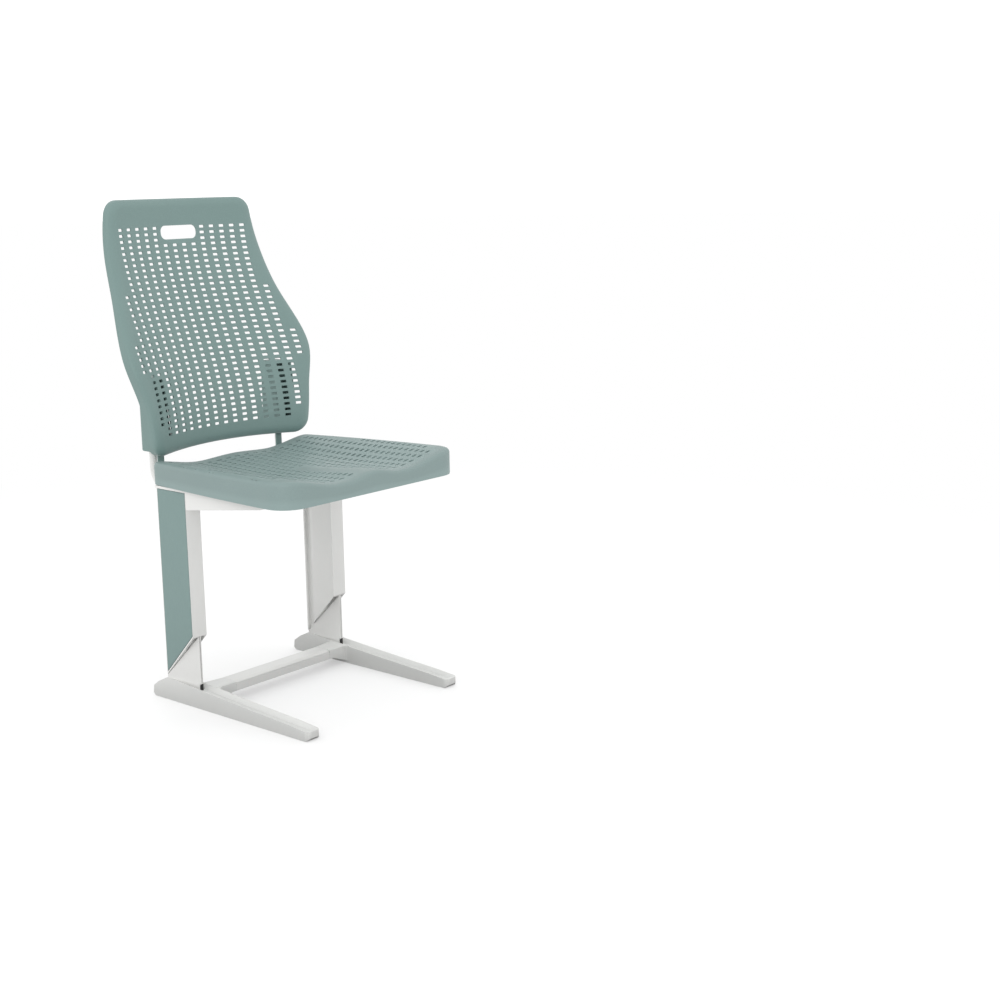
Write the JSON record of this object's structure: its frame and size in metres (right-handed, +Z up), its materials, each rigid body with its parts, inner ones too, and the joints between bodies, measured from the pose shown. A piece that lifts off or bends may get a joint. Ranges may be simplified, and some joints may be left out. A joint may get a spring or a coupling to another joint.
{
  "type": "school chair",
  "caption": "Height-adjustable school chair with perforated plastic seat and backrest on a white metal frame with coloured leg panels.",
  "frame": {"origin": "on the floor under the middle of the bounding box", "axes": "+Z up, the seat faces -Y, the sitter's left is +X"},
  "size_m": [0.42, 0.5057, 0.8755],
  "materials": {
    "frame_paint": "satin powder coat",
    "foot_paint": "satin powder coat",
    "teal_panel": "matt",
    "teal_plastic": "fine matt texture",
    "black_plastic": "matt",
    "zinc_steel": "zinc plated"
  },
  "bodies": {
    "base": {"foot_left": "foot_paint", "foot_right": "foot_paint", "riser_left": "frame_paint", "riser_right": "frame_paint", "guide_column_left": "frame_paint", "guide_column_right": "frame_paint", "foot_pads_left": "black_plastic", "foot_pads_right": "black_plastic", "riser_plug_left": "black_plastic", "riser_plug_right": "black_plastic", "crossbar": "frame_paint", "foot_bolts": "zinc_steel", "crossbar_bolts": "zinc_steel"},
    "seat_frame": {"leg_shell_left": "frame_paint", "leg_shell_right": "frame_paint", "leg_panel_left": "teal_panel", "leg_panel_right": "teal_panel", "guide_bushes_left": "black_plastic", "guide_bushes_right": "black_plastic", "nut_plate_left": "zinc_steel", "nut_plate_right": "zinc_steel", "clamp_bolts_left": "zinc_steel", "clamp_bolts_right": "zinc_steel", "seat_arm_left": "frame_paint", "seat_arm_right": "frame_paint", "back_rod_left": "frame_paint", "back_rod_right": "frame_paint", "front_cross_rail": "frame_paint", "rear_cross_rail": "frame_paint", "seat_shell": "teal_plastic", "seat_screws": "zinc_steel", "backrest_shell": "teal_plastic", "backrest_screws": "zinc_steel"}
  },
  "joints": [
    {"name": "height_slide", "type": "slide", "parent": "base", "child": "seat_frame", "axis": [0, 0, 1], "range_m": [0, 0.06]}
  ]
}
